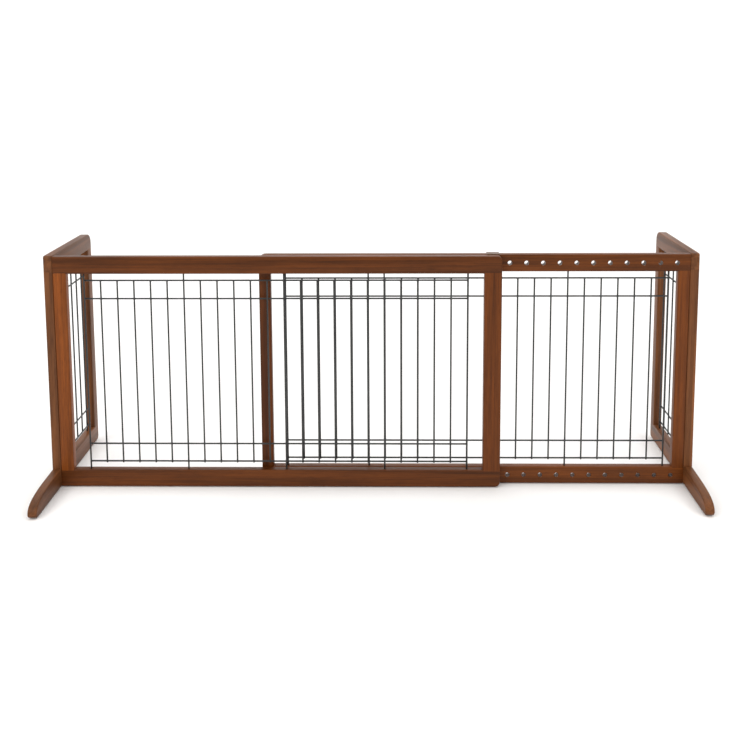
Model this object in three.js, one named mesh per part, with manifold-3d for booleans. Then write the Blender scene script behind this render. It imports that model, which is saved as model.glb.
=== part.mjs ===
// Free-standing pet gate: two wood-framed wire grilles that slide past each other, and a side panel
// with a long foot at each end. Millimetres, +Z up, +X to the right, the front faces -Y.
// The origin is the centre of the bounding box at floor level.
import * as THREE from 'three';
import { mergeVertices } from 'three/addons/utils/BufferGeometryUtils.js';
import Module from 'manifold-3d';

const wasm = await Module();
wasm.setup();

// Overall size, with the gate pulled out to the width it is stored at
const WIDTH = 1386;
const DEPTH = 450;
const HEIGHT = 510;

// Timber
const BOARD = 19; // thickness of every board
const RAIL = 37; // height of the frames' rails and of the side panels' top rails
const FIT = 0.3; // gap left between pieces that touch
const SLIDE_GAP = 2; // space between the two sliding frames

// The two sliding frames
const FRAME_BOTTOM = 2;
const FRAME_TOP = 508;
const FRONT_RIGHT_END = 275;
const FRONT_LEFT_STILE = 28;
const FRONT_RIGHT_STILE = 37;
const FRONT_CORNER = 10; // radius of the front frame's free corners
const REAR_LEFT_END = -240;
const REAR_STILE = 25;
const REAR_CORNER = 14; // radius of the rear frame's free corners

// Side panels, measured from the front face of the frame they are bolted to
const TOE_REACH = 155; // how far the foot runs forward
const FOOT_TOP = 40;
const FOOT_BOTTOM = 2; // raised off the floor by the pads
const POST = 28.5;
const PANEL_TOP_CORNER = 22;
const PANEL_FRONT_CORNER = 5;
const PANEL_HEEL_CORNER = 10;

// Wire grilles
const WIRE = 3.2; // side of the square section that stands for a 3.6 mm round wire
const WIRE_END = 0.5; // how far a wire's end stands past the last wire it crosses
const WIRE_PITCH = 35.4;
const MAIN_WIRES = 24;
const MAIN_FULL_WIRES = [0, 6, 12, 18, 23]; // wires that run on into the rails
const SIDE_WIRES = 6;
const SIDE_FIRST_WIRE = 45; // from the front of the panel
const SIDE_FULL_WIRES = [0, 5];
const FIRST_CROSS = 16; // first horizontal wire, from the rail
const CROSS_SPACING = 39.5; // first to second horizontal wire
const SOCKET_DEPTH = 8; // how far a full-height wire enters the rail
const FRONT_GRILLE_RIGHT = 204; // last wire of the front grille
const REAR_GRILLE_RIGHT = 630;

// Width lock
const LOCK_X = 258;
const HOLE_PITCH = 35.3;
const HOLES_LEFT = 12; // lock holes on each side of the one in use
const HOLES_RIGHT = 11;
const HOLE_RADIUS = 5;
const PIN_RADIUS = 4;
const PIN_TRAVEL = 16;
const BRACKET_WIDTH = 26;
const BRACKET_PLATE = 1.4;
const BRACKET_BEHIND = 0.6; // gap between the rear frame and the bracket's back leg
const BRACKET_DROP = 33; // height of the bracket's two legs
const BUSHING_RADIUS = 8;
const BUSHING_LENGTH = 9;
const SPIGOT_RADIUS = 5.5;
const KNOB_RADIUS = 10;
const KNOB_LENGTH = 14;
const KNOB_SOCKET = 10;

// Guide studs and their grooves
const STUD_X = -228;
const STUD_HEAD_RADIUS = 3;
const STUD_SHANK_RADIUS = 2;
const STUD_IN_GROOVE = 5;
const STUD_IN_WOOD = 10;
const GROOVE_HALF = 3.5;
const GROOVE_DEPTH = 6;
const GROOVE_LEFT = -634;
const GROOVE_RIGHT = 216;

// Fasteners
const DOWEL_RADIUS = 4;
const DOWEL_HALF = 13; // length in each of the two boards
const BOLT_RADIUS = 3;
const BOLT_HEAD_RADIUS = 5.5;
const BOLT_HEAD = 4;
const BOLT_IN_FRAME = 21;
const BOLT_HEIGHTS = [112, 398];
const NUT_RADIUS = 5;
const NUT_LENGTH = 13;
const NUT_INSET = 16; // from the end of the frame to the barrel nut's axis
const SCREW_HEAD_RADIUS = 3.8;
const SCREW_RADIUS = 2;
const SCREW_LENGTH = 14;
const PAD_RADIUS = 8;
const PAD_STEM_RADIUS = 3;
const PAD_STEM = 6;
const PAD_FROM_ENDS = 32;

// Worked out from the sizes above
const PANEL_LENGTH = DEPTH - BOARD - SLIDE_GAP;
const HEEL_REACH = PANEL_LENGTH - TOE_REACH;
const FRONT_Y = TOE_REACH - DEPTH / 2;
const REAR_Y = FRONT_Y + BOARD + SLIDE_GAP;
const MID_BOARD = BOARD / 2;
const FRAME_END = WIDTH / 2 - BOARD; // inner faces of the side panels
const TOP_RAIL_LOW = FRAME_TOP - RAIL;
const BOTTOM_RAIL_HIGH = FRAME_BOTTOM + RAIL;
const TOP_RAIL_MID = FRAME_TOP - RAIL / 2;
const CROSS_HEIGHTS = [
  BOTTOM_RAIL_HIGH + FIRST_CROSS,
  BOTTOM_RAIL_HIGH + FIRST_CROSS + CROSS_SPACING,
  TOP_RAIL_LOW - FIRST_CROSS - CROSS_SPACING,
  TOP_RAIL_LOW - FIRST_CROSS,
];
const BOTTOM_RAIL_MID = FRAME_BOTTOM + RAIL / 2;
// The bracket's two legs, from the front frame's front face
const BRACKET_FRONT = BOARD + FIT;
const BRACKET_SIDE = BOARD + SLIDE_GAP + BOARD + BRACKET_BEHIND;

const wood = new THREE.MeshStandardMaterial({ color: 0x6f4424, roughness: 0.45, metalness: 0 });
const sideWood = new THREE.MeshStandardMaterial({ color: 0x7b5138, roughness: 0.45, metalness: 0 });
const dowelWood = new THREE.MeshStandardMaterial({ color: 0xc9a878, roughness: 0.7, metalness: 0 });
const wire = new THREE.MeshStandardMaterial({ color: 0x1c1d1d, roughness: 0.4, metalness: 0.3 });
const steel = new THREE.MeshStandardMaterial({ color: 0x9b9c9e, roughness: 0.35, metalness: 1 });
const bronze = new THREE.MeshStandardMaterial({ color: 0x3a2a1e, roughness: 0.4, metalness: 0.6 });
const plastic = new THREE.MeshStandardMaterial({ color: 0x2a211c, roughness: 0.5, metalness: 0 });
const rubber = new THREE.MeshStandardMaterial({ color: 0x2b2b2b, roughness: 0.9, metalness: 0 });

// ---- solids ----

function toSolid(geometry) {
  const plain = geometry.clone();
  plain.deleteAttribute('normal');
  plain.deleteAttribute('uv');
  const merged = mergeVertices(plain, 1e-4);
  const vertProperties = new Float32Array(merged.attributes.position.array);
  const triVerts = new Uint32Array(merged.index.array);
  return new wasm.Manifold(new wasm.Mesh({ numProp: 3, vertProperties, triVerts }));
}

function toGeometry(solid) {
  const { vertProperties, triVerts } = solid.getMesh();
  const geometry = new THREE.BufferGeometry();
  geometry.setAttribute('position', new THREE.BufferAttribute(vertProperties, 3));
  geometry.setIndex(new THREE.BufferAttribute(triVerts, 1));
  geometry.computeVertexNormals();
  return geometry;
}

function carve(base, cutters) {
  let solid = toSolid(base);
  for (const cutter of cutters) {
    solid = solid.subtract(toSolid(cutter));
  }
  return toGeometry(solid);
}

function join(geometries) {
  let solid = toSolid(geometries[0]);
  for (const geometry of geometries.slice(1)) {
    solid = solid.add(toSolid(geometry));
  }
  return toGeometry(solid);
}

function block(x0, x1, y0, y1, z0, z1) {
  const geometry = new THREE.BoxGeometry(x1 - x0, y1 - y0, z1 - z0);
  geometry.translate((x0 + x1) / 2, (y0 + y1) / 2, (z0 + z1) / 2);
  return geometry;
}

// Turns a geometry whose long axis is +Y so that it runs along another axis
function alongAxis(geometry, axis) {
  if (axis === 'x') {
    geometry.rotateZ(-Math.PI / 2);
  }
  if (axis === 'z') {
    geometry.rotateX(Math.PI / 2);
  }
  return geometry;
}

function rod(axis, radius, length, at, sides = 12) {
  const geometry = new THREE.CylinderGeometry(radius, radius, length, sides);
  alongAxis(geometry, axis);
  geometry.translate(at[0], at[1], at[2]);
  return geometry;
}

// A turned piece: profile is a list of [radius, distance along +Y]
function turned(profile, sides = 16) {
  const points = profile.map(([radius, along]) => new THREE.Vector2(radius, along));
  return new THREE.LatheGeometry(points, sides);
}

// An outline in X and Z, made one board thick, with its front face at y = 0
function boardFromOutline(shape) {
  const geometry = new THREE.ExtrudeGeometry(shape, { depth: BOARD, bevelEnabled: false, curveSegments: 5 });
  geometry.rotateX(Math.PI / 2);
  geometry.translate(0, BOARD, 0);
  return geometry;
}

// An outline in Y and Z, made one board thick, centred on x = 0
function sideFromOutline(shape) {
  const geometry = new THREE.ExtrudeGeometry(shape, { depth: BOARD, bevelEnabled: false, curveSegments: 6 });
  geometry.rotateX(Math.PI / 2);
  geometry.rotateZ(Math.PI / 2);
  geometry.translate(-BOARD / 2, 0, 0);
  return geometry;
}

function piece(name, geometry, material) {
  const mesh = new THREE.Mesh(geometry, material);
  mesh.name = name;
  return mesh;
}

function dowelAt(name, at) {
  const mesh = piece(name, rod('z', DOWEL_RADIUS, 2 * DOWEL_HALF, [0, 0, 0], 8), dowelWood);
  mesh.position.set(at[0], at[1], at[2]);
  return mesh;
}

function dowelBore(at) {
  return rod('z', DOWEL_RADIUS + 0.4, 2 * (DOWEL_HALF + FIT), at, 8);
}

// ---- wire grilles ----

// A welded grille in the plane across `across` ('x' or 'y'), centred on 0 in its thickness.
// The upright wires stand in front and the crossing wires are welded behind them.
function grille(across, places, full, low, high) {
  const half = WIRE / 2;
  const overlap = 0.1;
  const bars = [];
  const first = places[0];
  const last = places[places.length - 1];
  const bar = (a0, a1, t0, t1, z0, z1) => (
    across === 'x' ? block(a0, a1, t0, t1, z0, z1) : block(t0, t1, a0, a1, z0, z1)
  );
  for (const z of CROSS_HEIGHTS) {
    bars.push(bar(first - half - WIRE_END, last + half + WIRE_END, -overlap, WIRE - overlap, z - half, z + half));
  }
  places.forEach((place, index) => {
    const runsOn = full.includes(index);
    const bottom = runsOn ? low - SOCKET_DEPTH : CROSS_HEIGHTS[0] - half - WIRE_END;
    const top = runsOn ? high + SOCKET_DEPTH : CROSS_HEIGHTS[3] + half + WIRE_END;
    bars.push(bar(place - half, place + half, overlap - WIRE, overlap, bottom, top));
  });
  return join(bars);
}

// The blind sockets that the full-height wires of one rail stand in
function wireSockets(across, places, full, middle, z0, z1) {
  const half = WIRE / 2 + FIT;
  return full.map((index) => {
    const at = places[index];
    const t0 = middle - WIRE - FIT;
    const t1 = middle + 2 * FIT;
    return across === 'x'
      ? block(at - half, at + half, t0, t1, z0, z1)
      : block(t0, t1, at - half, at + half, z0, z1);
  });
}

function wiresEndingAt(lastPlace, count) {
  return Array.from({ length: count }, (_, index) => lastPlace - (count - 1 - index) * WIRE_PITCH);
}

// ---- side panels ----

// The foot: a rail along the floor, drawn out forwards into a rounded toe
function footOutline() {
  const shape = new THREE.Shape();
  shape.moveTo(HEEL_REACH - PANEL_HEEL_CORNER, FOOT_BOTTOM);
  shape.absarc(HEEL_REACH - PANEL_HEEL_CORNER, FOOT_BOTTOM + PANEL_HEEL_CORNER,
    PANEL_HEEL_CORNER, -Math.PI / 2, 0, false);
  shape.lineTo(HEEL_REACH, FOOT_TOP);
  shape.lineTo(0, FOOT_TOP);
  shape.bezierCurveTo(-0.48 * TOE_REACH, FOOT_TOP - 2, 3 - TOE_REACH, FOOT_TOP,
    -TOE_REACH, FOOT_BOTTOM + 9);
  shape.quadraticCurveTo(-TOE_REACH, FOOT_BOTTOM, 8 - TOE_REACH, FOOT_BOTTOM);
  shape.closePath();
  return shape;
}

function panelTopRailOutline() {
  const shape = new THREE.Shape();
  shape.moveTo(0, HEIGHT - RAIL);
  shape.lineTo(HEEL_REACH, HEIGHT - RAIL);
  shape.lineTo(HEEL_REACH, HEIGHT - PANEL_TOP_CORNER);
  shape.absarc(HEEL_REACH - PANEL_TOP_CORNER, HEIGHT - PANEL_TOP_CORNER,
    PANEL_TOP_CORNER, 0, Math.PI / 2, false);
  shape.lineTo(PANEL_FRONT_CORNER, HEIGHT);
  shape.quadraticCurveTo(0, HEIGHT, 0, HEIGHT - PANEL_FRONT_CORNER);
  shape.closePath();
  return shape;
}

// side is -1 for the left panel and +1 for the right one. The group's origin is at the middle of the
// board's thickness, level with the front face of the frame that the panel is bolted to.
function sidePanel(label, side) {
  const group = new THREE.Group();
  const half = BOARD / 2;
  const railLow = HEIGHT - RAIL;
  const places = wiresEndingAt(SIDE_FIRST_WIRE + (SIDE_WIRES - 1) * WIRE_PITCH, SIDE_WIRES);
  const dowels = [FOOT_TOP, railLow].flatMap((z) => [
    [0, POST / 2, z],
    [0, HEEL_REACH - POST / 2, z],
  ]);
  const dowelBores = dowels.map(dowelBore);

  const padPlaces = [PAD_FROM_ENDS - TOE_REACH, HEEL_REACH - PAD_FROM_ENDS];
  const padBores = padPlaces.map((y) => (
    rod('z', PAD_STEM_RADIUS + FIT, PAD_STEM + 1, [0, y, FOOT_BOTTOM + PAD_STEM / 2], 8)
  ));
  const foot = carve(sideFromOutline(footOutline()), [
    ...dowelBores,
    ...padBores,
    ...wireSockets('y', places, SIDE_FULL_WIRES, 0, FOOT_TOP - SOCKET_DEPTH - FIT, FOOT_TOP + 1),
  ]);
  group.add(piece(`${label}_panel_foot`, foot, sideWood));

  const boltBores = BOLT_HEIGHTS.flatMap((z) => [
    rod('x', BOLT_RADIUS + FIT, BOARD + 2, [0, MID_BOARD, z]),
    rod('x', BOLT_HEAD_RADIUS + 2 * FIT, 2 * (BOLT_HEAD + 1), [side * half, MID_BOARD, z]),
  ]);
  const post = (y0) => block(-half, half, y0, y0 + POST, FOOT_TOP + FIT, railLow - FIT);
  const frontPost = carve(post(0), [...dowelBores, ...boltBores]);
  group.add(piece(`${label}_panel_front_post`, frontPost, sideWood));

  const rearPost = carve(post(HEEL_REACH - POST), dowelBores);
  group.add(piece(`${label}_panel_rear_post`, rearPost, sideWood));

  const topRail = carve(sideFromOutline(panelTopRailOutline()), [
    ...dowelBores,
    ...wireSockets('y', places, SIDE_FULL_WIRES, 0, railLow - 1, railLow + SOCKET_DEPTH + FIT),
  ]);
  group.add(piece(`${label}_panel_top_rail`, topRail, sideWood));

  group.add(piece(`${label}_panel_grille`, grille('y', places, SIDE_FULL_WIRES, FOOT_TOP, railLow), wire));

  dowels.forEach((at, index) => group.add(dowelAt(`${label}_panel_dowel_${index + 1}`, at)));

  padPlaces.forEach((y, index) => {
    const profile = [
      [0, 0], [PAD_RADIUS, 0], [PAD_RADIUS, FOOT_BOTTOM - FIT], [PAD_STEM_RADIUS, FOOT_BOTTOM - FIT],
      [PAD_STEM_RADIUS, FOOT_BOTTOM + PAD_STEM - 1], [0, FOOT_BOTTOM + PAD_STEM - 1],
    ];
    const pad = piece(`${label}_pad_${index ? 'heel' : 'toe'}`, alongAxis(turned(profile, 12), 'z'), rubber);
    pad.position.set(0, y, 0);
    group.add(pad);
  });

  BOLT_HEIGHTS.forEach((z, index) => {
    const end = BOARD - BOLT_HEAD + BOLT_IN_FRAME;
    const profile = [
      [0, 0], [BOLT_HEAD_RADIUS, 0], [BOLT_HEAD_RADIUS, BOLT_HEAD], [BOLT_RADIUS, BOLT_HEAD],
      [BOLT_RADIUS, BOLT_HEAD + end], [0, BOLT_HEAD + end],
    ];
    const bolt = piece(`${label}_bolt_${index + 1}`, turned(profile, 12), steel);
    bolt.position.set(side * (half - 0.5), MID_BOARD, z);
    bolt.rotation.z = side * Math.PI / 2;
    group.add(bolt);
  });
  return group;
}

// ---- parts shared by the two sliding frames ----

// Bores in a frame's end stile for the side panel's bolts and their barrel nuts
function boltBoresInFrame(side) {
  const end = side * FRAME_END;
  return BOLT_HEIGHTS.flatMap((z) => [
    rod('x', BOLT_RADIUS + FIT, 2 * BOLT_IN_FRAME + 2, [end, MID_BOARD, z]),
    rod('y', NUT_RADIUS + FIT, NUT_LENGTH + 1 + 2, [end - side * NUT_INSET, BOARD - NUT_LENGTH / 2 + 0.5, z]),
  ]);
}

function barrelNuts(label, side) {
  return BOLT_HEIGHTS.map((z, index) => {
    const body = rod('y', NUT_RADIUS, NUT_LENGTH, [0, 0, 0]);
    const thread = rod('x', BOLT_RADIUS + FIT, 4 * NUT_RADIUS, [0, MID_BOARD - (BOARD - NUT_LENGTH / 2), 0]);
    const nut = piece(`${label}_barrel_nut_${index + 1}`, carve(body, [thread]), steel);
    nut.position.set(side * (FRAME_END - NUT_INSET), BOARD - NUT_LENGTH / 2, z);
    return nut;
  });
}

// A countersunk screw, or with grow the hole it sits in. It holds a bracket's front leg to the back of
// the front frame. level is +1 at the top of the gate and -1 at the bottom.
function screwAt(level, grow) {
  const cone = SCREW_HEAD_RADIUS - SCREW_RADIUS;
  const edge = 0.3;
  const top = grow ? -1 : 0;
  const geometry = turned([
    [0, top], [SCREW_HEAD_RADIUS + grow, top], [SCREW_HEAD_RADIUS + grow, edge],
    [SCREW_RADIUS + grow, edge + cone], [SCREW_RADIUS + grow, SCREW_LENGTH + grow],
    [0, SCREW_LENGTH + grow],
  ], 12);
  geometry.rotateZ(Math.PI);
  geometry.translate(LOCK_X, BRACKET_FRONT + BRACKET_PLATE, level > 0 ? TOP_RAIL_MID : BOTTOM_RAIL_MID);
  return geometry;
}

// A frame's rail: square where the side panel is bolted on, with its outer corner rounded at the free
// end. level is +1 for a top rail and -1 for a bottom rail.
function railOutline(fixedEnd, freeEnd, level, corner) {
  const towards = Math.sign(freeEnd - fixedEnd);
  const outer = level > 0 ? FRAME_TOP : FRAME_BOTTOM;
  const inner = outer - level * RAIL;
  const shape = new THREE.Shape();
  const steps = 6;
  shape.moveTo(fixedEnd, inner);
  shape.lineTo(freeEnd, inner);
  for (let step = 0; step <= steps; step += 1) {
    const angle = (step / steps) * (Math.PI / 2);
    shape.lineTo(
      freeEnd - towards * corner * (1 - Math.cos(angle)),
      outer - level * corner * (1 - Math.sin(angle)),
    );
  }
  shape.lineTo(fixedEnd, outer);
  shape.closePath();
  return shape;
}

// The two rails, the two stiles between them, the grille and the corner dowels of a sliding frame.
// stiles lists [label, left face, right face]; extraCuts gives the other bores of a rail or a stile.
function slidingFrame(label, fixedEnd, freeEnd, corner, stiles, places, full, extraCuts) {
  const group = new THREE.Group();
  const dowels = stiles.flatMap(([, x0, x1]) => (
    [TOP_RAIL_LOW, BOTTOM_RAIL_HIGH].map((z) => [(x0 + x1) / 2, MID_BOARD, z])
  ));
  const bores = dowels.map(dowelBore);
  const rails = [
    ['top_rail', 1, TOP_RAIL_LOW - 1, TOP_RAIL_LOW + SOCKET_DEPTH + FIT],
    ['bottom_rail', -1, BOTTOM_RAIL_HIGH - SOCKET_DEPTH - FIT, BOTTOM_RAIL_HIGH + 1],
  ];
  for (const [part, level, socketLow, socketHigh] of rails) {
    const rail = carve(boardFromOutline(railOutline(fixedEnd, freeEnd, level, corner)), [
      ...bores,
      ...wireSockets('x', places, full, MID_BOARD, socketLow, socketHigh),
      ...extraCuts(part),
    ]);
    group.add(piece(`${label}_${part}`, rail, wood));
  }
  for (const [part, x0, x1] of stiles) {
    const stile = block(x0, x1, 0, BOARD, BOTTOM_RAIL_HIGH + FIT, TOP_RAIL_LOW - FIT);
    group.add(piece(`${label}_${part}`, carve(stile, [...bores, ...extraCuts(part)]), wood));
  }
  const mesh = piece(`${label}_grille`,
    grille('x', places, full, BOTTOM_RAIL_HIGH, TOP_RAIL_LOW), wire);
  mesh.position.y = MID_BOARD;
  group.add(mesh);
  dowels.forEach((at, index) => group.add(dowelAt(`${label}_dowel_${index + 1}`, at)));
  return group;
}

// ---- front frame: fixed to the left panel ----

function frontFrame() {
  const end = -FRAME_END + FIT;
  const stiles = [
    ['left_stile', end, FRONT_LEFT_STILE - FRAME_END],
    ['right_stile', FRONT_RIGHT_END - FRONT_RIGHT_STILE, FRONT_RIGHT_END],
  ];
  const railCuts = (level) => {
    const middle = level > 0 ? TOP_RAIL_MID : BOTTOM_RAIL_MID;
    const groove = block(GROOVE_LEFT, GROOVE_RIGHT, BOARD - GROOVE_DEPTH, BOARD + 1,
      middle - GROOVE_HALF, middle + GROOVE_HALF);
    return [groove, screwAt(level, FIT)];
  };
  const cuts = {
    top_rail: railCuts(1),
    bottom_rail: railCuts(-1),
    left_stile: boltBoresInFrame(-1),
    right_stile: [],
  };
  const places = wiresEndingAt(FRONT_GRILLE_RIGHT, MAIN_WIRES);
  const group = slidingFrame('front_frame', end, FRONT_RIGHT_END, FRONT_CORNER, stiles, places,
    MAIN_FULL_WIRES, (part) => cuts[part]);
  group.add(...barrelNuts('front_frame', -1));
  return group;
}

// ---- rear frame: fixed to the right panel, slides behind the front frame ----

function lockHoles(z) {
  const count = HOLES_LEFT + HOLES_RIGHT + 1;
  return Array.from({ length: count }, (_, index) => (
    rod('y', HOLE_RADIUS, BOARD + 2, [LOCK_X + (index - HOLES_LEFT) * HOLE_PITCH, MID_BOARD, z], 12)
  ));
}

// A headed stud driven into the rear frame, whose head runs in the groove of the front frame's rail
function guideStud(z) {
  const reach = SLIDE_GAP + STUD_IN_GROOVE;
  const geometry = turned([
    [0, -reach], [STUD_HEAD_RADIUS, -reach], [STUD_HEAD_RADIUS, -FIT], [STUD_SHANK_RADIUS, -FIT],
    [STUD_SHANK_RADIUS, STUD_IN_WOOD], [0, STUD_IN_WOOD],
  ], 12);
  geometry.translate(STUD_X, 0, z);
  return geometry;
}

function rearFrame() {
  const end = FRAME_END - FIT;
  const stiles = [
    ['left_stile', REAR_LEFT_END, REAR_LEFT_END + REAR_STILE],
    ['right_stile', end - REAR_STILE, end],
  ];
  const railCuts = (middle) => [
    ...lockHoles(middle),
    rod('y', STUD_SHANK_RADIUS + FIT, 2 * (STUD_IN_WOOD + FIT), [STUD_X, 0, middle], 12),
  ];
  const cuts = {
    top_rail: railCuts(TOP_RAIL_MID),
    bottom_rail: railCuts(BOTTOM_RAIL_MID),
    left_stile: [],
    right_stile: boltBoresInFrame(1),
  };
  const places = wiresEndingAt(REAR_GRILLE_RIGHT, MAIN_WIRES);
  const full = MAIN_FULL_WIRES.map((index) => MAIN_WIRES - 1 - index);
  const group = slidingFrame('rear_frame', end, REAR_LEFT_END, REAR_CORNER, stiles, places, full,
    (part) => cuts[part]);
  group.add(piece('rear_frame_guide_stud_top', guideStud(TOP_RAIL_MID), steel));
  group.add(piece('rear_frame_guide_stud_bottom', guideStud(BOTTOM_RAIL_MID), steel));
  group.add(...barrelNuts('rear_frame', 1));
  return group;
}

// ---- width lock ----

// A plate screwed to the back of the front frame and folded over the rear frame
function bracket(level) {
  const x0 = LOCK_X - BRACKET_WIDTH / 2;
  const x1 = LOCK_X + BRACKET_WIDTH / 2;
  const middle = level > 0 ? TOP_RAIL_MID : BOTTOM_RAIL_MID;
  const inner = level > 0 ? FRAME_TOP + FIT : FRAME_BOTTOM - FIT;
  const outer = inner + level * BRACKET_PLATE;
  const end = outer - level * BRACKET_DROP;
  const back = BRACKET_SIDE + BRACKET_PLATE;
  const plate = (y0, y1, z) => block(x0, x1, y0, y1, Math.min(z, outer), Math.max(z, outer));
  const folded = join([
    plate(BRACKET_FRONT, back, inner),
    plate(BRACKET_FRONT, BRACKET_FRONT + BRACKET_PLATE, end),
    plate(BRACKET_SIDE, back, end),
  ]);
  return carve(folded, [
    screwAt(level, FIT),
    rod('y', SPIGOT_RADIUS + FIT, 4 * BRACKET_PLATE, [LOCK_X, BRACKET_SIDE, middle], 16),
  ]);
}

function widthLock(label, level) {
  const group = new THREE.Group();
  const middle = level > 0 ? TOP_RAIL_MID : BOTTOM_RAIL_MID;
  const back = BRACKET_SIDE + BRACKET_PLATE;
  const boreRadius = PIN_RADIUS + FIT;
  group.add(piece(`lock_bracket_${label}`, bracket(level), bronze));
  group.add(piece(`lock_bracket_screw_${label}`, screwAt(level, 0), steel));

  const bushingEnd = back + FIT + BUSHING_LENGTH;
  const bushing = turned([
    [boreRadius, BRACKET_SIDE], [SPIGOT_RADIUS, BRACKET_SIDE], [SPIGOT_RADIUS, back + FIT],
    [BUSHING_RADIUS, back + FIT], [BUSHING_RADIUS, bushingEnd], [boreRadius, bushingEnd],
    [boreRadius, BRACKET_SIDE],
  ]);
  bushing.translate(LOCK_X, 0, middle);
  group.add(piece(`lock_bushing_${label}`, bushing, steel));

  const knobFront = bushingEnd + PIN_TRAVEL + FIT;
  const pinEnd = knobFront + KNOB_SOCKET - FIT;
  const pinChamfer = 1;
  const pin = turned([
    [0, BRACKET_SIDE], [PIN_RADIUS - pinChamfer, BRACKET_SIDE], [PIN_RADIUS, BRACKET_SIDE + pinChamfer],
    [PIN_RADIUS, pinEnd], [0, pinEnd],
  ]);
  pin.translate(LOCK_X, 0, middle);
  group.add(piece(`lock_pin_${label}`, pin, steel));

  const knobEdge = 2;
  const knobEnd = knobFront + KNOB_LENGTH;
  const knob = turned([
    [boreRadius, knobFront], [KNOB_RADIUS - knobEdge, knobFront], [KNOB_RADIUS, knobFront + knobEdge],
    [KNOB_RADIUS, knobEnd - knobEdge], [KNOB_RADIUS - knobEdge, knobEnd], [0, knobEnd],
    [0, knobFront + KNOB_SOCKET], [boreRadius, knobFront + KNOB_SOCKET], [boreRadius, knobFront],
  ]);
  knob.translate(LOCK_X, 0, middle);
  group.add(piece(`lock_knob_${label}`, knob, plastic));
  return group;
}

// ---- assembly ----

const group = new THREE.Group();
const placed = [
  [sidePanel('left', -1), -(WIDTH - BOARD) / 2, FRONT_Y],
  [sidePanel('right', 1), (WIDTH - BOARD) / 2, REAR_Y],
  [frontFrame(), 0, FRONT_Y],
  [rearFrame(), 0, REAR_Y],
  [widthLock('top', 1), 0, FRONT_Y],
  [widthLock('bottom', -1), 0, FRONT_Y],
];
for (const [part, x, y] of placed) {
  part.position.set(x, y, 0);
  group.add(part);
}

export default group;
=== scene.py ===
"""The looks of a free-standing pet gate: stained wood boards, black welded-wire grilles and the
steel width lock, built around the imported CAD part. Metres, +Z up, the front faces -Y."""

import math

import bmesh
import bpy
from mathutils import Matrix, Vector


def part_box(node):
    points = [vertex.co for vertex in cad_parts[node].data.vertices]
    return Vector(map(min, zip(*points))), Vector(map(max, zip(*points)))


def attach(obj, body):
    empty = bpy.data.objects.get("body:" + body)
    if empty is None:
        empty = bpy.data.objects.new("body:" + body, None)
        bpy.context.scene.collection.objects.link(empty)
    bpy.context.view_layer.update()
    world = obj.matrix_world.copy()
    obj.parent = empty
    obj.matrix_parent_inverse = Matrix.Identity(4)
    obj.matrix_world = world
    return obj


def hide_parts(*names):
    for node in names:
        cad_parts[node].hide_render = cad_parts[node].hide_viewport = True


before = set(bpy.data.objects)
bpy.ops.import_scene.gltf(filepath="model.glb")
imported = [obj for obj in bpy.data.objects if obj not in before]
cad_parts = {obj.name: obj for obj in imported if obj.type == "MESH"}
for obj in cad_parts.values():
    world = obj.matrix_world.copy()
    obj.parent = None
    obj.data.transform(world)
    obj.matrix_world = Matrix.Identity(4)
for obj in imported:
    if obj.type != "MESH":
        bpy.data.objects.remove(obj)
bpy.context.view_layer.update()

MM = 0.001
ROUND_OVER = 2.4 * MM      # rounding of the boards' long edges
WIRE_RADIUS = 1.8 * MM
CAD_WIRE_END = 2.1 * MM     # from a CAD grille's end to the middle of its first upright wire
HOLE_RADIUS = 5.0 * MM
HOLE_PITCH = 35.3 * MM
HOLES_LEFT = 12
HOLES_RIGHT = 11
GROOVE_HALF_HEIGHT = 3.5 * MM
GROOVE_DEPTH = 6 * MM
GROOVE_FROM_LEFT = 40 * MM # from a front rail's ends to the ends of its groove
GROOVE_FROM_RIGHT = 59 * MM
NUT_BORE = 5.4 * MM        # radii of the fasteners' bores
COUNTERBORE = 6.1 * MM
SHANK_BORE = 3.3 * MM
BUSHING_BORE = 5.7 * MM
SCREW_BORE = 3.9 * MM
WIRE_PITCH = 35.4 * MM
MAIN_WIRES = 24
SIDE_WIRES = 6
MAIN_FULL = (0, 6, 12, 18, 23)
SIDE_FULL = (0, 5)
CROSS_HEIGHTS = (55 * MM, 94.5 * MM, 415.5 * MM, 455 * MM)


def centre_of(node):
    low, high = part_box(node)
    return (low + high) / 2


LOCK_X = centre_of("lock_pin_top").x
TOP_MID = centre_of("lock_pin_top").z
BOTTOM_MID = centre_of("lock_pin_bottom").z


# ---- materials ----

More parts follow.
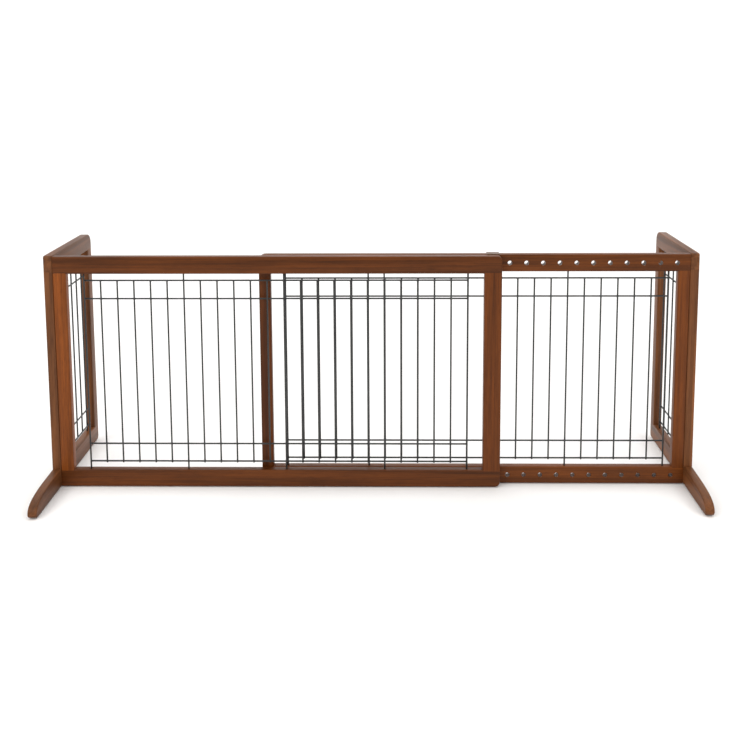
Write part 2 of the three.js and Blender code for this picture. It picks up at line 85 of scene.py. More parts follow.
class Shader:
    """A principled material whose nodes are added one by one."""

    def __init__(self, name, roughness=0.5, metallic=0.0):
        self.material = bpy.data.materials.new(name)
        self.material.use_nodes = True
        self.tree = self.material.node_tree
        self.bsdf = self.tree.nodes["Principled BSDF"]
        self.bsdf.inputs["Roughness"].default_value = roughness
        self.bsdf.inputs["Metallic"].default_value = metallic

    def node(self, kind, **values):
        made = self.tree.nodes.new(kind)
        for key, value in values.items():
            setattr(made, key, value)
        return made

    def link(self, source, target):
        self.tree.links.new(source, target)

    def object_space(self, scale, offset=(0.0, 0.0, 0.0)):
        place = self.node("ShaderNodeTexCoord")
        mapping = self.node("ShaderNodeMapping")
        mapping.inputs["Scale"].default_value = scale
        mapping.inputs["Location"].default_value = offset
        self.link(place.outputs["Object"], mapping.inputs["Vector"])
        return mapping.outputs["Vector"]

    def noise(self, scale, offset=(0.0, 0.0, 0.0), detail=4.0, roughness=0.55, distortion=0.0):
        texture = self.node("ShaderNodeTexNoise")
        texture.inputs["Scale"].default_value = 1.0
        texture.inputs["Detail"].default_value = detail
        texture.inputs["Roughness"].default_value = roughness
        texture.inputs["Distortion"].default_value = distortion
        self.link(self.object_space(scale, offset), texture.inputs["Vector"])
        return texture.outputs["Fac"]

    def ramp(self, value, stops):
        ramp = self.node("ShaderNodeValToRGB")
        points = ramp.color_ramp.elements
        while len(points) < len(stops):
            points.new(0.5)
        for point, (place, colour) in zip(points, stops):
            point.position = place
            point.color = (*colour, 1.0)
        self.link(value, ramp.inputs["Fac"])
        return ramp.outputs["Color"]

    def mix(self, blend, factor, first, second):
        mixer = self.node("ShaderNodeMix", data_type="RGBA", blend_type=blend)
        mixer.inputs["Factor"].default_value = factor
        self.link(first, mixer.inputs["A"])
        self.link(second, mixer.inputs["B"])
        return mixer.outputs["Result"]

    def spread(self, value, low, high):
        """Maps a 0 to 1 value onto low to high."""
        mapped = self.node("ShaderNodeMapRange")
        mapped.inputs["To Min"].default_value = low
        mapped.inputs["To Max"].default_value = high
        self.link(value, mapped.inputs["Value"])
        return mapped.outputs["Result"]

    def bump(self, value, strength, distance):
        bump = self.node("ShaderNodeBump")
        bump.inputs["Strength"].default_value = strength
        bump.inputs["Distance"].default_value = distance
        self.link(value, bump.inputs["Height"])
        self.link(bump.outputs["Normal"], self.bsdf.inputs["Normal"])

    def colour(self, output):
        self.link(output, self.bsdf.inputs["Base Color"])

    def roughness(self, output):
        self.link(output, self.bsdf.inputs["Roughness"])


def along(axis, length_scale, cross_scale):
    """A texture scale that stretches a pattern along one axis."""
    scale = [cross_scale] * 3
    scale["xyz".index(axis)] = length_scale
    return tuple(scale)


def stained_wood(name, axis, base, seed, coat=0.03):
    """Stained, satin-lacquered wood with its grain along one axis."""
    shader = Shader(name)
    shift = (seed * 1.7, seed * 3.1, seed * 2.3)
    dark = tuple(c * 0.52 for c in base)
    light = tuple(c * 1.5 for c in base)
    figure = shader.noise(along(axis, 1.6, 60.0), shift, detail=6.0, roughness=0.6, distortion=0.9)
    streaks = shader.noise(along(axis, 6.0, 420.0), shift, detail=5.0, roughness=0.65)
    blotches = shader.noise(along(axis, 5.0, 16.0), shift, detail=3.0)
    pores = shader.noise(along(axis, 45.0, 1800.0), shift, detail=2.0)
    body = shader.ramp(figure, [(0.3, dark), (0.5, base), (0.72, light)])
    lines = shader.ramp(streaks, [
        (0.34, (0.5, 0.46, 0.42)), (0.52, (1.0, 1.0, 1.0)), (0.75, (1.28, 1.2, 1.1))])
    clouds = shader.ramp(blotches, [(0.3, (0.74, 0.72, 0.72)), (0.7, (1.2, 1.16, 1.1))])
    specks = shader.ramp(pores, [(0.36, (0.45, 0.4, 0.36)), (0.44, (1.0, 1.0, 1.0))])
    toned = shader.mix("MULTIPLY", 0.55, body, lines)
    toned = shader.mix("MULTIPLY", 0.65, toned, clouds)
    toned = shader.mix("MULTIPLY", 0.5, toned, specks)
    shader.colour(toned)
    shader.roughness(shader.spread(streaks, 0.34, 0.54))
    shader.bump(streaks, 0.35, 0.0004)
    shader.bsdf.inputs["Coat Weight"].default_value = coat
    shader.bsdf.inputs["Coat Roughness"].default_value = 0.28
    shader.bsdf.inputs["Specular IOR Level"].default_value = 0.17
    return shader.material


def raw_beech():
    shader = Shader("raw_beech", roughness=0.7)
    grain = shader.noise((300.0, 300.0, 25.0))
    shader.colour(shader.ramp(grain, [(0.3, (0.42, 0.27, 0.14)), (0.7, (0.62, 0.44, 0.26))]))
    shader.bump(grain, 0.2, 0.0002)
    return shader.material


def black_wire():
    shader = Shader("black_wire_coating", roughness=0.4, metallic=0.0)
    patches = shader.noise((90.0, 90.0, 90.0), detail=5.0)
    shader.colour(shader.ramp(patches, [(0.3, (0.011, 0.012, 0.012)), (0.75, (0.026, 0.027, 0.028))]))
    shader.roughness(shader.spread(patches, 0.28, 0.5))
    shader.bump(shader.noise((900.0, 900.0, 900.0), detail=3.0), 0.25, 0.0001)
    return shader.material


def zinc_steel():
    shader = Shader("zinc_plated_steel", roughness=0.3, metallic=1.0)
    marks = shader.noise((250.0, 250.0, 250.0), detail=6.0)
    shader.colour(shader.ramp(marks, [(0.3, (0.42, 0.42, 0.44)), (0.7, (0.66, 0.66, 0.66))]))
    shader.roughness(shader.spread(marks, 0.2, 0.48))
    shader.bump(marks, 0.15, 0.0001)
    return shader.material


def dark_bronze():
    shader = Shader("dark_bronze_coating", roughness=0.42, metallic=0.35)
    speckle = shader.noise((600.0, 600.0, 600.0), detail=4.0)
    shader.colour(shader.ramp(speckle, [(0.3, (0.085, 0.042, 0.022)), (0.75, (0.15, 0.082, 0.045))]))
    shader.roughness(shader.spread(speckle, 0.32, 0.55))
    shader.bump(speckle, 0.3, 0.0001)
    return shader.material


def brown_plastic():
    shader = Shader("brown_plastic", roughness=0.5)
    grain = shader.noise((1200.0, 1200.0, 1200.0), detail=3.0)
    shader.colour(shader.ramp(grain, [(0.3, (0.022, 0.015, 0.011)), (0.7, (0.04, 0.028, 0.02))]))
    shader.roughness(shader.spread(grain, 0.42, 0.6))
    shader.bump(grain, 0.4, 0.0001)
    return shader.material


def pad_rubber():
    shader = Shader("pad_rubber", roughness=0.85)
    grain = shader.noise((800.0, 800.0, 800.0), detail=3.0)
    shader.colour(shader.ramp(grain, [(0.3, (0.016, 0.016, 0.016)), (0.7, (0.036, 0.035, 0.034))]))
    shader.bump(grain, 0.4, 0.0001)
    return shader.material


BEECH = raw_beech()
BLACK_WIRE = black_wire()
ZINC = zinc_steel()
BRONZE = dark_bronze()
PLASTIC = brown_plastic()
RUBBER = pad_rubber()


# ---- mesh tools ----

def new_object(name, mesh, material):
    made = bpy.data.objects.new(name, mesh)
    bpy.context.scene.collection.objects.link(made)
    mesh.materials.append(material)
    return made


def finish_mesh(name, bm, material, smooth_angle=35.0):
    bmesh.ops.recalc_face_normals(bm, faces=bm.faces)
    mesh = bpy.data.meshes.new(name)
    bm.to_mesh(mesh)
    bm.free()
    made = new_object(name, mesh, material)
    shade(made, smooth_angle)
    return made


def shade(made, angle):
    for face in made.data.polygons:
        face.use_smooth = True
    made.data.set_sharp_from_angle(angle=math.radians(angle))
    return made


def stands_for(made, nodes, body):
    for node in nodes:
        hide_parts(node)
    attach(made, body)
    return made


def arc(centre, radius, start, end, steps=8):
    """Points on a quarter circle or any other arc, with its ends, angles in degrees."""
    points = []
    for step in range(steps + 1):
        angle = math.radians(start + (end - start) * step / steps)
        points.append((centre[0] + radius * math.cos(angle), centre[1] + radius * math.sin(angle)))
    return points


def bezier(p0, p1, p2, p3, steps=20):
    points = []
    for step in range(steps + 1):
        t = step / steps
        weights = ((1 - t) ** 3, 3 * t * (1 - t) ** 2, 3 * t * t * (1 - t), t ** 3)
        points.append(tuple(sum(w * p[i] for w, p in zip(weights, (p0, p1, p2, p3))) for i in (0, 1)))
    return points


def board(name, outline, plane, low, high, material, butt_ends=()):
    """A flat board: an outline in X and Z ("xz") or Y and Z ("yz"), from low to high across it. Its
    edges are marked to be rounded over, except at the butt ends, given as (axis, place) pairs."""
    def place(across, point):
        if plane == "xz":
            return Vector((point[0], across, point[1]))
        return Vector((across, point[0], point[1]))

    bm = bmesh.new()
    near = [bm.verts.new(place(low, p)) for p in outline]
    far = [bm.verts.new(place(high, p)) for p in outline]
    bm.faces.new(near)
    bm.faces.new(list(reversed(far)))
    count = len(outline)
    for i in range(count):
        j = (i + 1) % count
        bm.faces.new((near[i], far[i], far[j], near[j]))
    bmesh.ops.recalc_face_normals(bm, faces=bm.faces)
    weights = bm.edges.layers.float.new("bevel_weight_edge")
    tolerance = 0.05 * MM
    for edge in bm.edges:
        a, b = (vert.co for vert in edge.verts)
        on_butt = any(
            abs(a["xyz".index(axis)] - where) < tolerance and abs(b["xyz".index(axis)] - where) < tolerance
            for axis, where in butt_ends)
        sharp = edge.calc_face_angle(0.0) > math.radians(30)
        edge[weights] = 1.0 if sharp and not on_butt else 0.0
    mesh = bpy.data.meshes.new(name)
    bm.to_mesh(mesh)
    bm.free()
    made = new_object(name, mesh, material)
    bevel = made.modifiers.new("round_over", "BEVEL")
    bevel.width = ROUND_OVER
    bevel.segments = 4
    bevel.limit_method = "WEIGHT"
    return made


def bake_modifiers(made):
    """Turns the modified shape into the object's own mesh."""
    graph = bpy.context.evaluated_depsgraph_get()
    mesh = bpy.data.meshes.new_from_object(made.evaluated_get(graph))
    made.modifiers.clear()
    made.data = mesh
    return made


def cut(made, cutter):
    """Takes the cutter out of a board and throws the cutter away."""
    tool = made.modifiers.new("bores", "BOOLEAN")
    tool.object = cutter
    tool.solver = "EXACT"
    bake_modifiers(made)
    bpy.data.objects.remove(cutter)
    return made


def lathe(bm, profile, origin, axis, sides=48):
    """Turns (radius, distance) points about a line from origin along axis."""
    turn = Vector((0, 0, 1)).rotation_difference(Vector(axis)).to_matrix().to_4x4()
    frame_of = Matrix.Translation(origin) @ turn
    rings = []
    for radius, distance in profile:
        if radius == 0:
            rings.append([bm.verts.new(frame_of @ Vector((0, 0, distance)))])
            continue
        rings.append([
            bm.verts.new(frame_of @ Vector((
                radius * math.cos(2 * math.pi * side / sides),
                radius * math.sin(2 * math.pi * side / sides),
                distance)))
            for side in range(sides)])
    for first, second in zip(rings, rings[1:]):
        for side in range(sides):
            following = (side + 1) % sides
            a = first[side % len(first)]
            b = first[following % len(first)]
            c = second[following % len(second)]
            d = second[side % len(second)]
            corners = []
            for vert in (a, b, c, d):
                if vert not in corners:
                    corners.append(vert)
            if len(corners) > 2:
                bm.faces.new(corners)


def turned(name, profile, origin, axis, material, sides=48):
    bm = bmesh.new()
    lathe(bm, [(r * MM, d * MM) for r, d in profile], Vector(origin), axis, sides)
    return finish_mesh(name, bm, material)


def bores(points, radius, axis, length, sides=40):
    """One cutter object holding a plug at every point."""
    bm = bmesh.new()
    half = length / 2
    for point in points:
        lathe(bm, [(0, -half), (radius, -half), (radius, half), (0, half)], Vector(point), axis, sides)
    bmesh.ops.recalc_face_normals(bm, faces=bm.faces)
    mesh = bpy.data.meshes.new("bores")
    bm.to_mesh(mesh)
    bm.free()
    cutter = bpy.data.objects.new("bores", mesh)
    bpy.context.scene.collection.objects.link(cutter)
    cutter.hide_render = True
    return cutter


# ---- boards ----

FRAME_BASE = (0.130, 0.0345, 0.0046)
RAIL_BASE = (0.110, 0.0300, 0.0042)
SIDE_BASE = (0.148, 0.0540, 0.0175)
HIDDEN_LAP = 2.2 * MM      # how far a board runs into the rounding of the one it is glued to


def tinted(base, amount):
    return tuple(c * amount for c in base)


def rail_outline(low, high, free, level, corner):
    """A frame's rail in X and Z. free is -1 or +1, the side on which its outer corner is rounded."""
    square_x = low.x if free > 0 else high.x
    free_x = high.x if free > 0 else low.x
    outer_z = high.z if level > 0 else low.z
    inner_z = low.z if level > 0 else high.z
    centre = (free_x - free * corner, outer_z - level * corner)
    start = 0 if free > 0 else 180
    end = 90 if level > 0 else (-90 if free > 0 else 270)
    return [
        (square_x, inner_z),
        (free_x, inner_z),
        *arc(centre, corner, start, end),
        (square_x, outer_z),
    ]


def sliding_frame(label, body, free, corner, tints):
    """The four boards of the front or the rear frame."""
    cutters = {}
    if label == "rear_frame":
        middle = centre_of("rear_frame_top_rail").y
        places = [LOCK_X + k * HOLE_PITCH for k in range(-HOLES_LEFT, HOLES_RIGHT + 1)]
        for rail, z in (("top_rail", TOP_MID), ("bottom_rail", BOTTOM_MID)):
            cutters[rail] = bores([(x, middle, z) for x in places], HOLE_RADIUS, (0, 1, 0), 0.03)
    for rail, level, seed in (("top_rail", 1, 1.3), ("bottom_rail", -1, 4.9)):
        node = f"{label}_{rail}"
        low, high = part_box(node)
        square_x = low.x if free > 0 else high.x
        material = stained_wood(node, "x", tinted(RAIL_BASE, tints[rail]), seed + len(label))
        made = board(node, rail_outline(low, high, free, level, corner), "xz", low.y, high.y, material,
                     [("x", square_x)])
        bake_modifiers(made)
        if rail in cutters:
            cut(made, cutters[rail])
        else:
            groove(made, low, high, centre_of(node).z)
        shade(made, 35)
        stands_for(made, [node], body)
    bolted_stile = "left_stile" if free > 0 else "right_stile"
    for stile, seed in (("left_stile", 8.1), ("right_stile", 11.7)):
        node = f"{label}_{stile}"
        low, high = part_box(node)
        z0 = low.z - HIDDEN_LAP
        z1 = high.z + HIDDEN_LAP
        outline = [(low.x, z0), (high.x, z0), (high.x, z1), (low.x, z1)]
        material = stained_wood(node, "z", tinted(FRAME_BASE, tints[stile]), seed + len(label))
        made = board(node, outline, "xz", low.y, high.y, material, [("z", z0), ("z", z1)])
        bake_modifiers(made)
        if stile == bolted_stile:
            nuts = [centre_of(f"{label}_barrel_nut_{index}") for index in (1, 2)]
            cut(made, bores(nuts, NUT_BORE, (0, 1, 0), 14 * MM))
        shade(made, 35)
        stands_for(made, [node], body)


def groove(made, low, high, middle):
    """The guide studs' groove in the back of a front rail."""
    left = GROOVE_FROM_LEFT
    right = GROOVE_FROM_RIGHT
    bm = bmesh.new()
    bmesh.ops.create_cube(bm, size=1.0)
    size = Vector((high.x - low.x - left - right, 2 * GROOVE_DEPTH, 2 * GROOVE_HALF_HEIGHT))
    place = Vector(((low.x + left + high.x - right) / 2, high.y, middle))
    bmesh.ops.transform(bm, matrix=Matrix.Translation(place) @ Matrix.Diagonal((*size, 1)), verts=bm.verts)
    mesh = bpy.data.meshes.new("groove")
    bm.to_mesh(mesh)
    bm.free()
    cutter = bpy.data.objects.new("groove", mesh)
    bpy.context.scene.collection.objects.link(cutter)
    cut(made, cutter)


def side_panel(side, body, tints):
    """The foot, two posts and top rail of a side panel, with the bolt heads' counterbores."""
    parts = ("foot", "front_post", "rear_post", "top_rail")
    foot, front, rear, top = (f"{side}_panel_{part}" for part in parts)
    low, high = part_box(foot)
    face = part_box(front)[0].y
    toe = low.y
    heel_corner = 10 * MM
    nose_z = low.z + 9 * MM
    reach = face - toe
    outline = [
        *bezier((face, high.z), (face - 0.48 * reach, high.z - 2 * MM),
                (toe + 3 * MM, high.z), (toe, nose_z)),
        *bezier((toe, nose_z), (toe, low.z + 3 * MM),
                (toe + 3 * MM, low.z), (toe + 9 * MM, low.z), 6)[1:],
        *arc((high.y - heel_corner, low.z + heel_corner), heel_corner, -90, 0),
        (high.y, high.z),
    ]
    made = board(foot, outline, "yz", low.x, high.x,
                 stained_wood(foot, "y", tinted(SIDE_BASE, tints[0]), 2.2 + len(side)))
    shade(bake_modifiers(made), 35)
    stands_for(made, [foot], body)

    low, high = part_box(top)
    rear_corner = 22 * MM
    front_corner = 5 * MM
    outline = [
        (low.y, low.z), (high.y, low.z),
        *arc((high.y - rear_corner, high.z - rear_corner), rear_corner, 0, 90),
        *arc((low.y + front_corner, high.z - front_corner), front_corner, 90, 180, 4),
    ]
    made = board(top, outline, "yz", low.x, high.x,
                 stained_wood(top, "y", tinted(SIDE_BASE, tints[1]), 5.4 + len(side)))
    shade(bake_modifiers(made), 35)
    stands_for(made, [top], body)

    for node, tint, seed in ((front, tints[2], 7.7), (rear, tints[3], 9.9)):
        low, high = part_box(node)
        z0 = low.z - HIDDEN_LAP
        z1 = high.z + HIDDEN_LAP
        outline = [(low.y, z0), (high.y, z0), (high.y, z1), (low.y, z1)]
        made = board(node, outline, "yz", low.x, high.x,
                     stained_wood(node, "z", tinted(SIDE_BASE, tint), seed + len(side)),
                     [("z", z0), ("z", z1)])
        bake_modifiers(made)
        if node == front:
            outer = low.x if side == "left" else high.x
            bolts = [centre_of(f"{side}_bolt_{index}") for index in (1, 2)]
            heads = [(outer, bolt_centre.y, bolt_centre.z) for bolt_centre in bolts]
            cut(made, bores(heads, COUNTERBORE, (1, 0, 0), 10 * MM))
            shanks = [((low.x + high.x) / 2, y, z) for _, y, z in heads]
            cut(made, bores(shanks, SHANK_BORE, (1, 0, 0), 30 * MM))
        shade(made, 35)
        stands_for(made, [node], body)


# ---- wire grilles ----

def wire_run(bm, start, end, sides=12):
    """A round wire with softened ends."""
    start = Vector(start)
    run = Vector(end) - start
    length = run.length
    edge = 0.4 * MM
    profile = [(0, 0), (WIRE_RADIUS - edge, 0), (WIRE_RADIUS, edge),
               (WIRE_RADIUS, length - edge), (WIRE_RADIUS - edge, length), (0, length)]
    lathe(bm, profile, start, run.normalized(), sides)


def weld(bm, place, squash):
    """The small squeezed bead where two wires are welded."""
    bead = bmesh.ops.create_uvsphere(bm, u_segments=10, v_segments=6, radius=2.2 * MM)
    shape = Matrix.Translation(place) @ Matrix.Diagonal((*squash, 1))
    bmesh.ops.transform(bm, matrix=shape, verts=bead["verts"])


def grille(node, body, axis, first, count, full, rail_low, rail_high):
    """A welded grille. axis is "x" or "y", the way its crossing wires run."""
    low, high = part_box(node)
    middle = (low + high) / 2
    across = middle.y if axis == "x" else middle.x
    lap = WIRE_RADIUS * 0.82
    socket = 7.6 * MM

    def point(along_axis, off, z):
        if axis == "x":
            return Vector((along_axis, across + off, z))
        return Vector((across + off, along_axis, z))

    places = [first + i * WIRE_PITCH for i in range(count)]
    bm = bmesh.new()
    for index, place in enumerate(places):
        runs_on = index in full
        z0 = rail_low - socket if runs_on else CROSS_HEIGHTS[0] - WIRE_RADIUS
        z1 = rail_high + socket if runs_on else CROSS_HEIGHTS[3] + WIRE_RADIUS
        wire_run(bm, point(place, -lap, z0), point(place, -lap, z1))
        for z in CROSS_HEIGHTS:
            squash = (0.95, 0.8, 0.95) if axis == "x" else (0.8, 0.95, 0.95)
            weld(bm, point(place, 0, z), squash)
    for z in CROSS_HEIGHTS:
        wire_run(bm, point(places[0] - WIRE_RADIUS, lap, z), point(places[-1] + WIRE_RADIUS, lap, z))
    made = finish_mesh(node, bm, BLACK_WIRE, 60)
    return stands_for(made, [node], body)


# ---- hardware ----

def bolt(side, index, body):
    """A button-head bolt with a hexagon socket. Its shank and barrel nut are inside the wood."""
    node = f"{side}_bolt_{index}"
    low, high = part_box(node)
    outward = -1 if side == "left" else 1
    outer = low.x if side == "left" else high.x
    length = (high.x - low.x) / MM
    place = Vector((outer, (low.y + high.y) / 2, (low.z + high.z) / 2))
    profile = [(0, 1.9), (2.0, 1.9), (2.0, 0.05), (3.0, 0.0), (4.4, 0.5), (5.2, 1.6), (5.5, 2.9),
               (5.5, 3.9), (5.3, 4.0), (3.0, 4.0), (3.0, length - 0.6), (2.5, length), (0, length)]
    made = turned(node, profile, place, (-outward, 0, 0), ZINC, 36)
    for vert in made.data.vertices:
        offset = Vector((0, vert.co.y - place.y, vert.co.z - place.z))
        if 0.0 < offset.length < 2.2 * MM and abs(vert.co.x - outer) < 2.0 * MM:
            angle = math.atan2(offset.z, offset.y)
            sector = math.pi / 3
            away = (angle % sector) - sector / 2
            flat = 2.0 * MM * math.cos(sector / 2) / math.cos(away)
            vert.co.y = place.y + offset.y / offset.length * flat
            vert.co.z = place.z + offset.z / offset.length * flat
    return stands_for(made, [node], body)


def pad(side, end, body):
    node = f"{side}_pad_{end}"
    low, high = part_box(node)
    place = Vector(((low.x + high.x) / 2, (low.y + high.y) / 2, low.z))
    height = (high.z - low.z) / MM
    profile = [(0, 0.25), (5.0, 0.25), (5.3, 0.0), (7.4, 0.0), (7.9, 0.35), (8.0, 0.9), (7.8, 1.6),
               (3.0, 1.7), (3.0, height - 0.6), (2.5, height), (0, height)]
    made = turned(node, profile, place, (0, 0, 1), RUBBER)
    return stands_for(made, [node], body)


def bracket(where, level, body):
    """A steel strip bent over the rear frame, with the pin's hole in its back leg."""
    node = f"lock_bracket_{where}"
    low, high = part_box(node)
    thick = 1.4 * MM
    bend = 0.9 * MM
    outer_z = high.z if level > 0 else low.z
    end_z = low.z if level > 0 else high.z
    bm = bmesh.new()

    def strip_line(inset, radius):
        """One face of the strip in Y and Z, from the tip of the front leg to that of the back leg."""
        y0 = low.y + inset
        y1 = high.y - inset
        top = outer_z - level * inset
        first = [(y0 + radius * (1 - math.cos(t)), top - level * radius * (1 - math.sin(t)))
                 for t in (math.radians(a) for a in range(0, 91, 15))]
        second = [(y1 - (y - y0), z) for y, z in reversed(first)]
        return [(y0, end_z), *first, *second, (y1, end_z)]

    outside = strip_line(0.0, bend + 0.5 * MM)
    inside = strip_line(thick, 0.4 * MM)
    loops = []
    for x in (low.x, high.x):
        loops.append((
            [bm.verts.new((x, y, z)) for y, z in outside],
            [bm.verts.new((x, y, z)) for y, z in inside],
        ))
    (out0, in0), (out1, in1) = loops
    last = len(out0) - 1
    for i in range(last):
        bm.faces.new((out0[i], out0[i + 1], out1[i + 1], out1[i]))
        bm.faces.new((in0[i], in1[i], in1[i + 1], in0[i + 1]))
        bm.faces.new((out0[i], in0[i], in0[i + 1], out0[i + 1]))
        bm.faces.new((out1[i], out1[i + 1], in1[i + 1], in1[i]))
    for i in (0, last):
        bm.faces.new((out0[i], out1[i], in1[i], in0[i]))
    made = finish_mesh(node, bm, BRONZE)
    middle = TOP_MID if level > 0 else BOTTOM_MID
    cut(made, bores([(LOCK_X, high.y, middle)], BUSHING_BORE, (0, 1, 0), 6 * MM))
    cut(made, bores([(LOCK_X, low.y, middle)], SCREW_BORE, (0, 1, 0), 6 * MM))
    edge = made.modifiers.new("edges", "BEVEL")
    edge.width = 0.25 * MM
    edge.segments = 2
    edge.limit_method = "ANGLE"
    shade(bake_modifiers(made), 35)
    return stands_for(made, [node], body)


def lock_set(where, root, body):
    """The bushing, pin and pull knob of one end of the width lock."""
    low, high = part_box(f"lock_bushing_{where}")
    place = Vector((LOCK_X, low.y, TOP_MID if where == "top" else BOTTOM_MID))
    length = (high.y - low.y) / MM
    flange = length - 9
    profile = [(4.3, 0), (5.5, 0), (5.5, flange), (7.6, flange), (8.0, flange + 0.4),
               (8.0, flange + 2.2), (7.4, flange + 2.8), (6.6, flange + 3.2),
               (6.6, length - 1.0), (6.0, length - 0.2),
               (5.4, length), (4.7, length), (4.3, length - 0.4), (4.3, 0)]
    made = turned(f"lock_bushing_{where}", profile, place, (0, 1, 0), ZINC)
    stands_for(made, [f"lock_bushing_{where}"], root)

    low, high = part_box(f"lock_pin_{where}")
    length = (high.y - low.y) / MM
    profile = [(0, 0), (2.6, 0.1), (3.3, 0.5), (3.8, 1.3), (4.0, 2.2), (4.0, length - 12.6),
               (3.7, length - 12.3), (3.7, length - 11.7), (4.0, length - 11.4), (4.0, length), (0, length)]
    made = turned(f"lock_pin_{where}", profile, Vector((LOCK_X, low.y, place.z)), (0, 1, 0), ZINC)
    stands_for(made, [f"lock_pin_{where}"], body)

    low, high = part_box(f"lock_knob_{where}")
    length = (high.y - low.y) / MM
    profile = [(4.1, 0), (5.6, 0), (6.0, 0.5), (6.2, 2.4), (7.4, 3.9), (9.3, 5.2), (9.9, 6.6),
               (9.9, length - 2.6), (9.4, length - 1.2), (8.2, length - 0.3), (6.8, length),
               (6.2, length - 0.5), (0, length - 0.7), (0, 10), (4.1, 10), (4.1, 0)]
    made = turned(f"lock_knob_{where}", profile, Vector((LOCK_X, low.y, place.z)), (0, 1, 0), PLASTIC, 96)
    ribs = 24
    depth = 0.35 * MM
    for vert in made.data.vertices:
        offset = Vector((vert.co.x - LOCK_X, 0, vert.co.z - place.z))
        if offset.length > 9.0 * MM:
            wave = math.cos(ribs * math.atan2(offset.z, offset.x))
            vert.co -= offset.normalized() * depth * (1 - wave) / 2
    stands_for(made, [f"lock_knob_{where}"], body)


# ---- the gate ----

sliding_frame("front_frame", "front_section", 1, 10 * MM,
              {"top_rail": 0.95, "bottom_rail": 1.0, "left_stile": 1.5, "right_stile": 1.0})
sliding_frame("rear_frame", "rear_section", -1, 14 * MM,
              {"top_rail": 1.1, "bottom_rail": 1.08, "left_stile": 0.75, "right_stile": 1.05})
side_panel("left", "front_section", (1.0, 1.0, 0.95, 0.9))
side_panel("right", "rear_section", (1.05, 1.05, 1.22, 0.95))

RAIL_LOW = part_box("front_frame_bottom_rail")[1].z
RAIL_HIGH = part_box("front_frame_top_rail")[0].z
REAR_FULL = tuple(MAIN_WIRES - 1 - index for index in MAIN_FULL)
for name, body, wires in (
        ("front_frame", "front_section", MAIN_FULL),
        ("rear_frame", "rear_section", REAR_FULL)):
    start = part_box(f"{name}_grille")[0].x + CAD_WIRE_END
    grille(f"{name}_grille", body, "x", start, MAIN_WIRES, wires, RAIL_LOW, RAIL_HIGH)
for side, body in (("left", "front_section"), ("right", "rear_section")):
    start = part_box(f"{side}_panel_grille")[0].y + CAD_WIRE_END
    foot_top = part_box(f"{side}_panel_foot")[1].z
    rail_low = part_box(f"{side}_panel_top_rail")[0].z
    grille(f"{side}_panel_grille", body, "y", start, SIDE_WIRES, SIDE_FULL, foot_top, rail_low)
    for index in (1, 2):
        bolt(side, index, body)
    for end in ("toe", "heel"):
        pad(side, end, body)

for where, level in (("top", 1), ("bottom", -1)):
    bracket(where, level, "front_section")
    lock_set(where, "front_section", f"lock_{where}")

for name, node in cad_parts.items():
    if "dowel" in name:
        node.data.materials.clear()
        node.data.materials.append(BEECH)
    elif "barrel_nut" in name or "screw" in name or "stud" in name:
        node.data.materials.clear()
        node.data.materials.append(ZINC)


# ---- floor, light and camera ----

def studio():
    bm = bmesh.new()
    reach = 14.0
    bend = 3.0
    back = 8.0
    line = [(-reach, 0.0), (back, 0.0)]
    line += [(back + bend * math.sin(math.radians(a)), bend * (1 - math.cos(math.radians(a))))
             for a in range(10, 91, 10)]
    line.append((back + bend, 9.0))
    rows = [[bm.verts.new((x, y, z)) for y, z in line] for x in (-reach, reach)]
    for i in range(len(line) - 1):
        bm.faces.new((rows[0][i], rows[1][i], rows[1][i + 1], rows[0][i + 1]))
    shader = Shader("pale_floor", roughness=0.75)
    shader.bsdf.inputs["Base Color"].default_value = (0.93, 0.925, 0.92, 1.0)
    shader.bsdf.inputs["Specular IOR Level"].default_value = 0.15
    floor = finish_mesh("floor", bm, shader.material, 60)


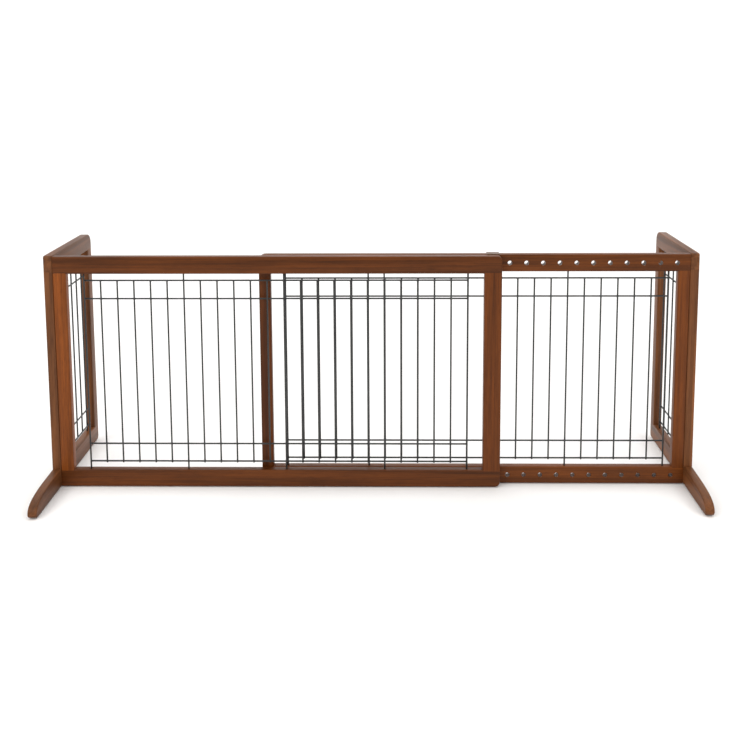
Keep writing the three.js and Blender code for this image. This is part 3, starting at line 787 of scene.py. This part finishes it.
def area_light(name, place, target, size, power, colour=(1.0, 1.0, 1.0)):
    lamp = bpy.data.lights.new(name, "AREA")
    lamp.shape = "RECTANGLE"
    lamp.size, lamp.size_y = size
    lamp.energy = power
    lamp.color = colour
    made = bpy.data.objects.new(name, lamp)
    made.location = place
    made.rotation_euler = (Vector(target) - Vector(place)).to_track_quat("-Z", "Y").to_euler()
    bpy.context.scene.collection.objects.link(made)


def lighting():
    world = bpy.data.worlds.new("studio")
    world.use_nodes = True
    background = world.node_tree.nodes["Background"]
    background.inputs["Color"].default_value = (1.0, 0.985, 0.965, 1.0)
    background.inputs["Strength"].default_value = 0.42
    bpy.context.scene.world = world
    area_light("overhead", (0.0, 1.8, 4.8), (0, 1.8, 0.0), (10.0, 9.0), 385)
    area_light("front_left", (-2.4, -2.8, 2.3), (0, 0, 0.25), (2.2, 2.2), 52, (1.0, 0.97, 0.93))
    area_light("front_right", (2.6, -2.6, 1.8), (0, 0, 0.25), (2.0, 2.0), 36, (1.0, 0.98, 0.95))
    area_light("backdrop", (0.0, 5.2, 4.2), (0.0, 10.4, 2.4), (9.0, 2.0), 420)


def camera():
    """The viewpoint: 2.1 m in front of the gate's middle and 0.92 m up, looking a little down."""
    lens = bpy.data.cameras.new("view")
    lens.sensor_width = 36.0
    lens.lens = 47.36
    lens.shift_y = -0.26
    lens.clip_end = 60.0
    turn, tilt, roll = -0.01573, 0.12428, -0.00436
    forward = Vector((math.sin(turn) * math.cos(tilt), math.cos(turn) * math.cos(tilt), -math.sin(tilt)))
    level = Vector((math.cos(turn), -math.sin(turn), 0))
    upward = level.cross(forward)
    right = level * math.cos(roll) + upward * math.sin(roll)
    above = upward * math.cos(roll) - level * math.sin(roll)
    axes = Matrix((right, above, -forward)).transposed()
    made = bpy.data.objects.new("camera", lens)
    made.matrix_world = Matrix.Translation((0.0407, -2.1027, 0.9239)) @ axes.to_4x4()
    bpy.context.scene.collection.objects.link(made)
    bpy.context.scene.camera = made


studio()
lighting()
camera()
bpy.context.scene.view_settings.view_transform = "Standard"
